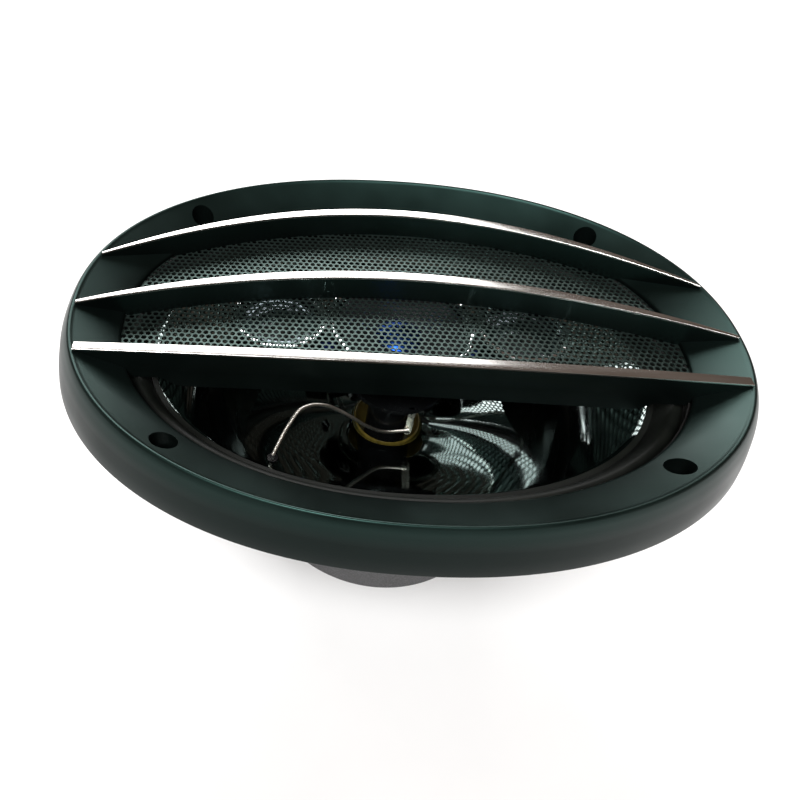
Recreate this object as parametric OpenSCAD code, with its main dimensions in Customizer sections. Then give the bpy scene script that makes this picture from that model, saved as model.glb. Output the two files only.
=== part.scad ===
// Oval coaxial car loudspeaker, 6x9 inch class, with its louvred grille.
// +Z points out of the front, X is the long axis, and the origin is the centre
// of the plane where the flange and grille meet the car's panel.

/* [Grille] */
// Half length of the grille at its crest
grille_a = 122; // [116:1:134]
// Half width of the grille at its crest
grille_b = 88; // [82:1:98]
// Height of the grille's crest above the panel
crest_z = 20; // [17:0.5:24]
// How far the skirt spreads outward between crest and panel
skirt_spread = 5; // [2:0.5:7]
// Width of the dished ring at the ends of the long axis
ring_w_x = 18; // [14:0.5:19]
// Width of the dished ring at the ends of the short axis
ring_w_y = 14.5; // [11:0.5:15]
// Depth from the crest to the ring's inner lip
dish_depth = 8.3; // [6:0.1:9]
// Wall of the moulded grille
grille_wall = 2.3; // [1.6:0.1:3]
// Height of the lip's inner wall
lip_h = 2; // [1.2:0.1:2.5]

/* [Louvres] */
// Where the three louvres meet the rim, across the grille
louvre_end_y = [-25, -3, 25]; // [-60:1:60]
// How far each louvre bows towards the far side
louvre_bow = [1.7, 23.8, 37]; // [0:0.1:40]
// Width of a louvre at its top
louvre_w = 4.2; // [3:0.1:6]
// Width of a louvre at its lower edge
louvre_foot_w = 2.4; // [1.6:0.1:4]
// Depth of the front louvre below the mesh
louvre_drop = 6.6; // [0:0.2:7]
// How far the front louvre still hangs below the mesh over the surround's roll
roll_pass = 2.5; // [0:0.1:3]
// Share of a louvre's width that is lost towards its ends
louvre_taper = [0.15, 0.65, 0.7]; // [0:0.05:0.8]
// How far inside the crest the louvres end
louvre_inset = 2; // [0.5:0.1:2.5]
// Thickness of the metal trim strips
trim_t = 0.8; // [0.5:0.1:1.5]

/* [Mesh] */
// Thickness of the perforated sheet
mesh_t = 0.5; // [0.4:0.1:1.2]

/* [Mounting] */
// Distance between screw holes along the long axis
hole_span_x = 162; // [154:1:166]
// Distance between screw holes along the short axis
hole_span_y = 118; // [114:1:120]
// Diameter of the screw holes
hole_d = 4.8; // [4:0.1:5.5]
// Diameter of the counterbores in the grille
counterbore_d = 9; // [8:0.5:10]
// Height of the counterbore's floor above the panel
counterbore_z = 5.2; // [4.8:0.1:7]

/* [Basket] */
// Half length of the flange
flange_a = 118; // [115:0.5:120]
// Half width of the flange
flange_b = 84.5; // [82:0.5:86]
// Half length of the basket's mouth, outside
mouth_a = 104.7; // [98:0.1:106]
// Half width of the basket's mouth, outside
mouth_b = 74; // [69:0.1:75]
// Thickness of the pressed steel
steel_t = 1.2; // [0.8:0.1:1.6]
// Thickness of the foam gasket behind the flange
gasket_t = 1.5; // [1:0.1:3]
// Radius of the basket's round bowl, outside
bowl_r = 47; // [44:0.5:50]
// Depth of the bowl's top edge below the panel
bowl_top = 38; // [36:0.5:40]
// Depth of the spider's ledge below the panel
ledge_depth = 49; // [46:0.5:52]
// Depth of the basket's back below the panel
basket_depth = 56; // [54:0.5:60]
// Number of windows round the basket
window_count = 10; // [6:1:12]
// Width of a window
window_w = 22; // [14:1:24]
// Depth of the windows' upper edge
window_top = 12; // [9:1:16]
// Depth of the windows' lower edge
window_bottom = 34; // [28:1:35]

/* [Cone] */
// Width of the surround's roll
roll_w = 8.5; // [7:0.5:14]
// Height of the surround's roll
roll_h = 4.2; // [3:0.1:4.6]
// Drop from the surround's outer foot to its inner foot
foot_drop = 5; // [4:0.5:7]
// Depth of the cone's neck below the panel
neck_depth = 40; // [36:0.5:41]
// Thickness of the cone
cone_t = 0.9; // [0.5:0.1:1.5]

/* [Motor] */
// Inner diameter of the voice coil's tube
coil_d = 26.2; // [24:0.2:30]
// Wall of the voice coil's tube
coil_wall = 0.25; // [0.2:0.05:0.4]
// Length of the tube above the cone's neck
coil_lip = 2; // [1:0.2:3]
// Thickness of the winding
winding_t = 0.55; // [0.4:0.05:0.8]
// Gap on each side of the coil
coil_gap = 0.5; // [0.35:0.05:0.8]
// Diameter of the front and back plates
plate_d = 88; // [76:1:94]
// Thickness of the front plate
plate_t = 6; // [4:0.5:7]
// Diameter of the magnet
magnet_d = 102; // [84:1:110]
// Thickness of the magnet
magnet_t = 22; // [12:1:26]
// Inner diameter of the magnet
magnet_bore_d = 38; // [34:1:44]

/* [Bridge] */
// Height of the drivers' rims above the panel
bridge_z = 8.3; // [5:0.1:8.6]
// Distance from the middle driver to each tweeter
tweeter_x = 46.5; // [46:0.5:50]
// Outer radius of the middle driver's ring
mid_r = 28; // [24:0.5:28.5]
// Outer radius of a tweeter's ring
tweeter_r = 18; // [14:0.5:18]
// Depth of the tweeter cups below the rims
tweeter_depth = 13; // [11:0.5:15]
// Depth of the middle cup below the rims
mid_depth = 20; // [16:0.5:21]
// How far the drivers sit from the speaker's axis, towards the far side
bridge_y = 9; // [0:0.5:10]
// Radius of the hub under the middle driver
hub_r = 19; // [17:0.5:20]
// Radius of the post
post_r = 8.5; // [6:0.5:9.5]
// Travel of the small drivers
dome_travel = 0.3; // [0.1:0.1:0.5]

/* [Hidden] */
$fn = 64;

seg = 72;               // steps round an oval
oval_n = 2.15;          // squareness of the ovals; 2 is a true ellipse
hair = 0.1;             // clearance between glued or clamped pieces
air = 0.4;              // clearance between pieces that move past each other
over = 1;               // how far a cutter runs past the face that it cuts
quarters = [45 : 90 : 315];

flange_back = gasket_t;
flange_front = flange_back + steel_t;
foot_t = 0.8;                      // thickness of the surround
foot_top = flange_front + foot_t;
mouth_in_a = mouth_a - steel_t;
mouth_in_b = mouth_b - steel_t;
foot_w = 3.8;                      // width of the surround's outer foot on the flange
foot_a = mouth_in_a + foot_w;
foot_b = mouth_in_b + foot_w;
cone_a = mouth_in_a - roll_w;      // cone's edge, where the roll ends
cone_b = mouth_in_b - roll_w;
glue_w = 2;                        // width of the inner foot on the cone
cone_edge_z = foot_top - foot_t - foot_drop;
former_r = coil_d / 2;
former_out = former_r + coil_wall;
neck_r = former_out + hair;
pole_r = former_r - coil_gap;
gap_r = former_out + winding_t + coil_gap;
pole_top = -basket_depth;
plate_back = -basket_depth - plate_t;
magnet_back = plate_back - magnet_t;
yoke_t = plate_t;
yoke_back = magnet_back - yoke_t;
winding_len = 9;
winding_top = -basket_depth + 2;
former_bottom = winding_top - winding_len - 1;
lip_z = crest_z - dish_depth;
mesh_top = lip_z - lip_h;
lip_a = grille_a - ring_w_x;
lip_b = grille_b - ring_w_y;
spider_z = -44;
spider_foot_z = -ledge_depth;
spider_r = bowl_r - steel_t - 2.6;
spider_t = 0.6;
hub_z = bridge_z - mid_depth;
sides = [-1, 1];
holes = [for (sx = [-1, 1], sy = [-1, 1]) [sx * hole_span_x / 2, sy * hole_span_y / 2]];

// ---- outlines and lofts ----
function oval_point(a, b, n, t) =
    [a * sign(cos(t)) * pow(abs(cos(t)), 2 / n), b * sign(sin(t)) * pow(abs(sin(t)), 2 / n)];
function oval(a, b, n = oval_n) = [for (i = [0 : seg - 1]) oval_point(a, b, n, 360 * i / seg)];
// How far out a point is, as a share of the oval's size: 1 on its edge
function reach(p, a, b) = pow(pow(abs(p[0]) / a, oval_n) + pow(abs(p[1]) / b, oval_n), 1 / oval_n);

// A closed wall whose section rows are [half length, half width, z, squareness]
module oval_wall(rows) {
    k = len(rows);
    points = [for (i = [0 : seg - 1], r = rows)
        let (p = oval_point(r[0], r[1], r[3], 360 * i / seg)) [p[0], p[1], r[2]]];
    faces = [for (i = [0 : seg - 1], j = [0 : k - 1])
        let (i2 = (i + 1) % seg, j2 = (j + 1) % k, a = i * k + j, b = i * k + j2,
             c = i2 * k + j2, d = i2 * k + j)
        each [[a, b, c], [a, c, d]]];
    polyhedron(points, faces, convexity = 6);
}

// A flat ring between an outer and an inner oval, each [half length, half width]
module oval_ring(outer, inner, z0, z1) {
    translate([0, 0, z0]) linear_extrude(z1 - z0) difference() {
        polygon(oval(outer[0], outer[1]));
        polygon(oval(inner[0], inner[1]));
    }
}

// A strip that joins matching four-point sections, closed at both ends
module section_strip(sections) {
    n = len(sections);
    m = len(sections[0]);
    points = [for (s = sections, p = s) p];
    sides = [for (i = [0 : n - 2], j = [0 : m - 1])
        let (j2 = (j + 1) % m, a = i * m + j, b = i * m + j2, c = (i + 1) * m + j2,
             d = (i + 1) * m + j)
        each [[a, b, c], [a, c, d]]];
    start = [[for (j = [m - 1 : -1 : 0]) j]];
    end = [[for (j = [0 : m - 1]) (n - 1) * m + j]];
    polyhedron(points, concat(sides, start, end), convexity = 6);
}

// A round tube swept along a list of points
function unit(v) = v / norm(v);
function tangent(pts, i) = unit(pts[min(i + 1, len(pts) - 1)] - pts[max(i - 1, 0)]);
module tube_along(pts, r, sides = 8) {
    section_strip([for (i = [0 : len(pts) - 1])
        let (t = tangent(pts, i), u = unit(cross(t, [0.12, 0.2, 1])), v = cross(t, u))
        [for (j = [0 : sides - 1]) pts[i] - r * (u * cos(360 * j / sides) - v * sin(360 * j / sides))]]);
}

// Points on a smooth curve through the given ones, three steps to each span
function spline_at(p0, p1, p2, p3, t) = 0.5 * (2 * p1 + (p2 - p0) * t
    + (2 * p0 - 5 * p1 + 4 * p2 - p3) * t * t + (3 * p1 - p0 - 3 * p2 + p3) * t * t * t);
function smooth(pts, steps = 3) = let (last = len(pts) - 1) concat(
    [for (i = [0 : last - 1], s = [0 : steps - 1]) spline_at(pts[max(i - 1, 0)], pts[i],
        pts[i + 1], pts[min(i + 2, last)], s / steps)], [pts[last]]);

// ---- grille ----
// Half sizes and height of the dished ring, s from 0 at the crest to 1 at the lip
function ring_row(s, z) = [grille_a - s * ring_w_x, grille_b - s * ring_w_y, z, oval_n];
function ring_share(p) = let (outer = 1 - reach(p, grille_a, grille_b), inner = reach(p, lip_a, lip_b) - 1)
    max(0, min(1, outer / max(0.001, outer + inner)));
function ring_z(p) = crest_z - dish_depth * ring_share(p);
skirt_s = skirt_spread / ring_w_x;
wall_s = grille_wall / ring_w_y;

module ring_shell() {
    oval_wall([
        ring_row(-skirt_s, 0),
        ring_row(-skirt_s * 0.9, crest_z * 0.25),
        ring_row(-skirt_s * 0.55, crest_z * 0.7),
        ring_row(-skirt_s * 0.2, crest_z * 0.9),
        ring_row(0.0, crest_z * 0.975),
        ring_row(0.035, crest_z),
        ring_row(0.075, crest_z - 0.15),
        ring_row(0.12, crest_z - 0.09 * dish_depth),
        ring_row(0.55, crest_z - 0.55 * dish_depth),
        ring_row(0.96, lip_z + 0.1),
        ring_row(1.0, lip_z - 0.5),
        ring_row(1.0, mesh_top),
        ring_row(0.9, mesh_top),
        ring_row(0.88, lip_z - grille_wall + 0.9),
        ring_row(0.5, crest_z - 0.5 * dish_depth - grille_wall),
        ring_row(0.06 + wall_s, crest_z - 0.15 * dish_depth - grille_wall - 0.4),
        ring_row(wall_s, crest_z * 0.7),
        ring_row(wall_s - skirt_s * 0.9, 0)
    ]);
}

function louvre_end_x(y) = (grille_a - louvre_inset)
    * pow(1 - pow(abs(y) / (grille_b - louvre_inset), oval_n), 1 / oval_n);
function louvre_y(k, x) = let (c = louvre_end_x(louvre_end_y[k]))
    louvre_end_y[k] + louvre_bow[k] * (1 - x * x / (c * c));
louvre_steps = 36;
foot_fade = 0.06;       // share of the cone over which the front louvre's foot rises
// Only the front louvre hangs below the mesh, and its foot rises to pass over the surround's roll
function louvre_low(k, p) = k > 0 ? mesh_top : mesh_top - roll_pass - (louvre_drop - roll_pass)
    * max(0, min(1, (1 - reach(p, edge_a, edge_b)) / foot_fade));
function louvre_half(k, x) = let (c = louvre_end_x(louvre_end_y[k]))
    louvre_w / 2 * (1 - louvre_taper[k] * pow(abs(x) / c, 3));

// The blade under louvre k: its foot follows the dished ring, then drops inside the lip
module louvre_blade(k) {
    c = louvre_end_x(louvre_end_y[k]);
    section_strip([for (i = [0 : louvre_steps])
        let (x = -c + 2 * c * i / louvre_steps, y = louvre_y(k, x),
             inside = reach([x, y], lip_a, lip_b) < 1,
             low = inside ? louvre_low(k, [x, y]) : max(mesh_top, ring_z([x, y]) - grille_wall * 0.6),
             w = louvre_half(k, x), foot = w * louvre_foot_w / louvre_w)
        [[x, y - w, crest_z], [x, y + w, crest_z], [x, y + foot, low], [x, y - foot, low]]]);
}

// The trim strip that lies on louvre k, as wide as the louvre
module louvre_trim(k) {
    c = louvre_end_x(louvre_end_y[k]);
    color("silver") section_strip([for (i = [0 : louvre_steps])
        let (x = -c + 2 * c * i / louvre_steps, y = louvre_y(k, x), w = louvre_half(k, x))
        [[x, y - w, crest_z + trim_t], [x, y + w, crest_z + trim_t],
         [x, y + w, crest_z], [x, y - w, crest_z]]]);
}

boss_wall = 1.2;
boss_floor = 1.3;
boss_skin = 0.5;        // how far a boss stays below the dish's surface
// The room under the dished ring that the screw bosses fill up to
module boss_room() {
    oval_wall([
        ring_row(0.04, counterbore_z - boss_floor),
        ring_row(0.04, crest_z - over),
        ring_row(0.12, crest_z - 0.09 * dish_depth - boss_skin),
        ring_row(0.55, crest_z - 0.55 * dish_depth - boss_skin),
        ring_row(0.96, lip_z - boss_skin),
        ring_row(0.96, counterbore_z - boss_floor)
    ]);
}
boss_r = counterbore_d / 2 + boss_wall;
boss_foot_r = hole_d / 2 + boss_wall;
module grille_bezel() {
    color("darkslategray") difference() {
        // one moulding: ring, louvres and screw bosses
        minkowski() {
            union() {
                ring_shell();
                for (k = [0 : 2]) louvre_blade(k);
                intersection() {
                    boss_room();
                    union() for (h = holes) translate([h[0], h[1], 0])
                        cylinder(r = boss_r, h = crest_z, $fn = 40);
                }
                for (h = holes) translate([h[0], h[1], flange_front])
                    cylinder(r = boss_foot_r, h = counterbore_z - flange_front, $fn = 32);
            }
        }
        for (h = holes) translate([h[0], h[1], 0]) {
            translate([0, 0, counterbore_z]) cylinder(d = counterbore_d, h = crest_z);
            translate([0, 0, -over]) cylinder(d = hole_d, h = crest_z);
        }
    }
}
module louvre_trim_front() { louvre_trim(0); }
module louvre_trim_middle() { louvre_trim(1); }
module louvre_trim_rear() { louvre_trim(2); }

// Perforated sheet under the lip, from the front louvre to the far side
mesh_border = 1.5;      // how far the sheet reaches under the lip
mesh_a = lip_a + mesh_border;
mesh_b = lip_b + mesh_border;
module grille_mesh() {
    gap = louvre_w / 2 + hair;
    color("dimgray") translate([0, 0, mesh_top - mesh_t]) linear_extrude(mesh_t) intersection() {
        polygon(oval(mesh_a, mesh_b));
        polygon(concat([for (i = [-12 : 12]) let (x = grille_a * i / 12) [x, louvre_y(0, x) + gap]],
            [[grille_a, grille_b], [-grille_a, grille_b]]));
    }
}

// ---- basket ----
gasket_inset = 1;
module panel_gasket() {
    color("black") difference() {
        oval_ring([flange_a - gasket_inset, flange_b - gasket_inset],
            [mouth_a + gasket_inset, mouth_b + gasket_inset], 0, gasket_t);
        for (h = holes) translate([h[0], h[1], -over]) cylinder(d = hole_d, h = gasket_t + 2 * over);
    }
}

plate_hole_r = 18;
ledge_w = 5;
module basket_shell() {
    ledge_in = spider_r - ledge_w;
    oval_wall([
        [plate_hole_r, plate_hole_r, -basket_depth, 2],
        [ledge_in + steel_t, ledge_in + steel_t, -basket_depth, 2],
        [ledge_in + steel_t, ledge_in + steel_t, -ledge_depth - steel_t, 2],
        [bowl_r, bowl_r, -ledge_depth - steel_t, 2],
        [bowl_r, bowl_r, -bowl_top, 2],
        [mouth_a, mouth_b, -6, oval_n],
        [mouth_a, mouth_b, flange_back, oval_n],
        [flange_a, flange_b, flange_back, oval_n],
        [flange_a, flange_b, flange_front, oval_n],
        [mouth_in_a, mouth_in_b, flange_front, oval_n],
        [mouth_in_a, mouth_in_b, -5.4, oval_n],
        [bowl_r - steel_t, bowl_r - steel_t, -bowl_top + 0.6, 2],
        [bowl_r - steel_t, bowl_r - steel_t, -ledge_depth, 2],
        [ledge_in, ledge_in, -ledge_depth, 2],
        [ledge_in, ledge_in, -basket_depth + steel_t, 2],
        [plate_hole_r, plate_hole_r, -basket_depth + steel_t, 2]
    ]);
}

rivet_r = 2;
rivet_ring = 27;
// A window's cutter faces straight out of the wall, halfway between the bowl and the mouth
module window_cutter(i) {
    mid_a = (bowl_r + mouth_a) / 2;
    mid_b = (bowl_r + mouth_b) / 2;
    p = oval_point(mid_a, mid_b, oval_n, 90 + 360 * i / window_count);
    facing = atan2(p[1] / (mid_b * mid_b), p[0] / (mid_a * mid_a));
    aside = p[1] * cos(facing) - p[0] * sin(facing);
    rotate([0, 0, facing]) translate([bowl_r * 0.8, aside - window_w / 2, -window_bottom])
        cube([mouth_a, window_w, window_bottom - window_top]);
}

module basket() {
    color("dimgray") difference() {
        basket_shell();
        for (i = [0 : window_count - 1]) window_cutter(i);
        for (h = holes) translate([h[0], h[1], -over]) cylinder(d = hole_d, h = flange_front + 2 * over);
        for (q = quarters) rotate([0, 0, q]) translate([rivet_ring, 0, -basket_depth - over])
            cylinder(r = rivet_r, h = steel_t + 2 * over);
        for (s = sides) translate([s * board_rivet_x, bowl_r + over, board_z])
            rotate([90, 0, 0]) cylinder(r = board_rivet_r, h = steel_t + 3 * over);
    }
}

// Board ring on the surround's foot, notched round the screw bosses
module clamp_ring() {
    color("black") difference() {
        oval_ring([foot_a, foot_b], [mouth_in_a + hair, mouth_in_b + hair],
            foot_top, mesh_top - mesh_t - air);
        for (h = holes) translate([h[0], h[1], 0]) cylinder(r = boss_r + air, h = mesh_top);
    }
}

// ---- moving system ----
// Roll of the surround between its feet, u from 0 at the outer foot to 1 at the inner one
function roll_row(u, lift) = let (w = u * roll_w, base = foot_top - foot_t - u * foot_drop)
    [mouth_in_a - w, mouth_in_b - w, base + lift + sin(180 * u) * roll_h, oval_n];
roll_steps = 8;
module surround() {
    color([0.16, 0.17, 0.15]) oval_wall(concat(
        [[foot_a, foot_b, flange_front, oval_n]],
        [[foot_a, foot_b, foot_top, oval_n]],
        [for (i = [0 : roll_steps]) roll_row(i / roll_steps, foot_t)],
        [[cone_a - glue_w, cone_b - glue_w, cone_edge_z + foot_t, oval_n]],
        [[cone_a - glue_w, cone_b - glue_w, cone_edge_z, oval_n]],
        [for (i = [roll_steps : -1 : 0]) roll_row(i / roll_steps, 0)]));
}

// Cone surface, u from 0 at the neck to 1 at the edge under the surround's foot
cone_curve = 0.86;
edge_a = cone_a - glue_w;
edge_b = cone_b - glue_w;
function cone_z(u) = -neck_depth + (cone_edge_z - cone_t + neck_depth) * pow(u, cone_curve);
function cone_row(u, lift) = [neck_r + (edge_a - neck_r) * u, neck_r + (edge_b - neck_r) * u,
    cone_z(u) + lift, 2 + (oval_n - 2) * u];
cone_steps = 8;
module cone() {
    color([0.1, 0.11, 0.12]) oval_wall(concat(
        [for (i = [0 : cone_steps]) cone_row(i / cone_steps, 0)],
        [[cone_a, cone_b, cone_edge_z - cone_t, oval_n], [cone_a, cone_b, cone_edge_z, oval_n]],
        [for (i = [cone_steps : -1 : 0]) cone_row(i / cone_steps, cone_t)]));
}

module voice_coil_former() {
    color("darkkhaki") translate([0, 0, former_bottom]) difference() {
        cylinder(r = former_out, h = -neck_depth + coil_lip - former_bottom);
        translate([0, 0, -over]) cylinder(r = former_r, h = basket_depth);
    }
}
module voice_coil_winding() {
    color("chocolate") translate([0, 0, winding_top - winding_len]) difference() {
        cylinder(r = former_out + winding_t, h = winding_len);
        translate([0, 0, -over]) cylinder(r = former_out, h = winding_len + 2 * over);
    }
}

// Corrugated disc, lower at its outer foot than at the coil
spider_bore = former_out + hair;
spider_in = former_out + 2.4;
spider_out = spider_r - 4.2;
spider_waves = 5;
wave_h = 1.1;
collar_h = 1.6;         // glued collar on the coil's tube
collar_w = 1.2;
function spider_mid(r) = let (u = (r - spider_in) / (spider_out - spider_in))
    spider_z + (spider_foot_z - spider_z) * u - wave_h * sin(360 * spider_waves * u);
module spider() {
    steps = spider_waves * 8;
    rs = [for (i = [0 : steps]) spider_in + (spider_out - spider_in) * i / steps];
    color("goldenrod") rotate_extrude() polygon(concat(
        [[spider_bore, spider_z], [spider_bore, spider_z + collar_h],
         [former_out + collar_w, spider_z + collar_h]],
        [for (r = rs) [r, spider_mid(r) + spider_t]],
        [[spider_r, spider_foot_z + spider_t], [spider_r, spider_foot_z]],
        [for (i = [steps : -1 : 0]) [rs[i], spider_mid(rs[i])]]));
}

// ---- motor ----
module front_plate() {
    color("silver") translate([0, 0, plate_back]) difference() {
        cylinder(d = plate_d, h = plate_t);
        translate([0, 0, -over]) cylinder(r = gap_r, h = plate_t + 2 * over);
        for (q = quarters) rotate([0, 0, q]) translate([rivet_ring, 0, -over])
            cylinder(r = rivet_r, h = plate_t + 2 * over);
    }
}
module magnet() {
    color([0.15, 0.15, 0.16]) translate([0, 0, magnet_back]) difference() {
        cylinder(d = magnet_d, h = magnet_t);
        translate([0, 0, -over]) cylinder(d = magnet_bore_d, h = magnet_t + 2 * over);
    }
}
vent_r = 3.2;
sink_h = 2;             // depth of the counterbore for the post's screw
screw_head_r = 5.2;
module back_yoke() {
    chamfer = 1.5;
    color("silver") difference() {
        rotate_extrude() polygon([[vent_r, yoke_back], [plate_d / 2 - chamfer, yoke_back],
            [plate_d / 2, yoke_back + chamfer], [plate_d / 2, magnet_back], [pole_r, magnet_back],
            [pole_r, pole_top], [vent_r, pole_top]]);
        translate([0, 0, yoke_back - over]) cylinder(r = screw_head_r + 0.3, h = sink_h + over);
    }
}
rivet_head_r = 3.4;
rivet_head_h = 0.9;
module basket_rivets() {
    color("gainsboro") for (q = quarters) rotate([0, 0, q]) translate([rivet_ring, 0, 0]) {
        translate([0, 0, plate_back + hair]) cylinder(r = rivet_r, h = plate_t + steel_t);
        translate([0, 0, -basket_depth + steel_t]) cylinder(r = rivet_head_r, h = rivet_head_h);
    }
}

// ---- terminals ----
board_z = -43.5;
board_w = 30;
board_h = 12;
board_t = 1.6;
board_y = bowl_r + 0.6;      // back of the board, held off the bowl by the rivets' collars
board_rivet_x = 4;
board_rivet_r = 1.5;
tab_x = 10;
tab_t = 0.8;
tab_foot_w = 6;
tab_drop = 4;                // how far below the board's middle the blade is
tab_reach = 9.5;             // length of the blade
tab_pin_r = 1.2;
tab_pin_z = 2;
hook_z = board_z + board_h / 2 + 2.5;
module along_y(x, y, z, r, h) { translate([x, y, z]) rotate([-90, 0, 0]) cylinder(r = r, h = h); }

module terminal_board() {
    color("saddlebrown") difference() {
        translate([-board_w / 2, board_y, board_z - board_h / 2]) cube([board_w, board_t, board_h]);
        for (s = sides) {
            along_y(s * board_rivet_x, board_y - over, board_z, board_rivet_r, board_t + 2 * over);
            along_y(s * tab_x, board_y - over, board_z + tab_pin_z, tab_pin_r, board_t + 2 * over);
        }
    }
}
module terminal_rivets() {
    head = 0.7;
    inner_head = 1;
    back = bowl_r - steel_t - inner_head - air;
    color("gainsboro") for (s = sides) {
        along_y(s * board_rivet_x, back, board_z, board_rivet_r, board_y + board_t + head - back);
        along_y(s * board_rivet_x, board_y + board_t, board_z, board_rivet_r + 1.1, head);
        along_y(s * board_rivet_x, bowl_r - hair, board_z, board_rivet_r + 0.9, board_y - bowl_r + hair);
        along_y(s * board_rivet_x, back, board_z, board_rivet_r + 0.9, inner_head);
    }
}
// Spade tab: a foot riveted to the board, a blade bent out from its lower edge, and a hook for the lead
module spade(s, w) {
    y = board_y + board_t;
    foot_z = board_z - tab_drop;
    color("gainsboro") {
        translate([s * tab_x - tab_foot_w / 2, y, foot_z]) cube([tab_foot_w, tab_t, hook_z - foot_z]);
        translate([s * tab_x - w / 2, y, foot_z]) cube([w, tab_reach, tab_t]);
        along_y(s * tab_x, board_y, board_z + tab_pin_z, tab_pin_r, board_t);
    }
}
module positive_tab() { spade(1, 6.3); }
module negative_tab() { spade(-1, 4.8); }

// ---- leads ----
lead_d = 1.5;
lead_r = lead_d / 2;
eyelet_x = 9;
eyelet_y = 24;
// Where the cone's back is under a point: its u is found in small steps out from the neck
function cone_at(p, u) = reach(p, neck_r + (edge_a - neck_r) * u, neck_r + (edge_b - neck_r) * u);
function cone_under(p) = cone_z([for (i = [0 : 200]) if (cone_at(p, i / 200) <= 1) i / 200][0]);
eyelet_z = cone_under([eyelet_x, eyelet_y]);
eyelet_h = 5;
eyelet_foot = eyelet_z - 2;
lead_top = hook_z;
lead_y = board_y + board_t + tab_t + lead_r;
module rear_lead(s) {
    color("silver") tube_along(smooth([
        [s * tab_x, lead_y, lead_top - 3],
        [s * tab_x, lead_y, lead_top],
        [s * (tab_x - 0.6), lead_y - 0.6, lead_top + 4],
        [s * (tab_x - 1.6), lead_y - 4, lead_top + 6.4],
        [s * (tab_x - 2.4), lead_y - 10, lead_top + 5.6],
        [s * (tab_x - 2.4), lead_y - 16, lead_top + 2.6],
        [s * (tab_x - 2), lead_y - 21, lead_top + 1.2],
        [s * eyelet_x, eyelet_y + 1.2, eyelet_foot - 2.4],
        [s * eyelet_x, eyelet_y, eyelet_foot - lead_r / 2 - lead_gap]
    ]), lead_r);
}
module rear_lead_positive() { rear_lead(1); }
module rear_lead_negative() { rear_lead(-1); }

// Solder lugs hang from the rim of the post, one on each side of it
lug_y = hub_r - 1.6;
lug_x = -5;
lug_w = 2.6;
lug_t = 0.8;
lug_len = 15;
solder_h = 2.2;         // how far above a lug's hole its lead is soldered
lug_foot_z = hub_z - lug_len;
// Where the front leads land on the cone
land_x = 46.8;
land_y = 47.5;
land_z = cone_under([land_x, land_y]) + cone_t;
lead_gap = 0.3;         // air between a lead's end and the pad that its solder bridges
module front_lead(s) {
    color("silver") tube_along(smooth([
        [s * lug_x, s * (lug_y + lug_t / 2 + lead_r), lug_foot_z + lug_w / 2 + solder_h],
        [s * 4.6, s * 20.8, -21.9],
        [s * 12.3, s * 25, -14.1],
        [s * 19.2, s * 27.8, -5.9],
        [s * 24.6, s * 29, -0.9],
        [s * 29, s * 30.2, 2.5],
        [s * 33.9, s * 31.8, 4.3],
        [s * 38.4, s * 34.4, 4.1],
        [s * 41.6, s * 38.2, 1.2],
        [s * 44.2, s * 42.6, -1.2],
        [s * land_x, s * land_y, land_z + pad_h + lead_r + lead_gap]
    ]), lead_r);
}
module front_lead_left() { front_lead(-1); }
module front_lead_right() { front_lead(1); }

pad_h = 1;
pad_r = 1.8;
eyelet_r = 1.8;
// Two eyelets through the cone for the rear leads, and two solder pads for the front leads
module cone_eyelets() {
    color("goldenrod") for (s = sides) {
        translate([s * eyelet_x, eyelet_y, eyelet_foot]) cylinder(r = eyelet_r, h = eyelet_h);
        translate([s * land_x, s * land_y, land_z - cone_t]) cylinder(r = pad_r, h = cone_t + pad_h);
    }
}

// ---- post and bridge ----
flare_h = 8;
flare_rim = 2;
flare_foot = 2;
thread_r = 2.5;
thread_len = 26;
module post() {
    color([0.08, 0.08, 0.08]) difference() {
        union() {
            translate([0, 0, pole_top]) cylinder(r = post_r, h = hub_z - pole_top);
            translate([0, 0, hub_z - flare_h])
                cylinder(r1 = post_r + flare_foot, r2 = hub_r - flare_foot, h = flare_h - flare_rim);
            translate([0, 0, hub_z - flare_rim]) cylinder(r = hub_r, h = flare_rim);
        }
        translate([0, 0, pole_top - over]) cylinder(r = thread_r, h = thread_len + over);
    }
}
module post_screw() {
    head_h = sink_h - 0.2;
    slot_w = 1.2;
    slot_deep = 1;
    color("gainsboro") translate([0, 0, yoke_back + sink_h - head_h]) difference() {
        union() {
            cylinder(r = screw_head_r, h = head_h);
            cylinder(r = thread_r, h = pole_top + thread_len - yoke_back - sink_h);
        }
        translate([-screw_head_r * 0.8, -slot_w / 2, -over])
            cube([screw_head_r * 1.6, slot_w, slot_deep + over]);
    }
}
module solder_lug(s) {
    eye_z = lug_foot_z + lug_w / 2;
    color("gainsboro") difference() {
        union() {
            translate([s * lug_x - lug_w / 2, s * lug_y - lug_t / 2, eye_z])
                cube([lug_w, lug_t, hub_z - eye_z]);
            along_y(s * lug_x, s * lug_y - lug_t / 2, eye_z, lug_w / 2, lug_t);
        }
        along_y(s * lug_x, s * lug_y - lug_t / 2 - over, eye_z, 0.9, lug_t + 2 * over);
    }
}
module solder_lug_left() { solder_lug(-1); }
module solder_lug_right() { solder_lug(1); }

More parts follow.
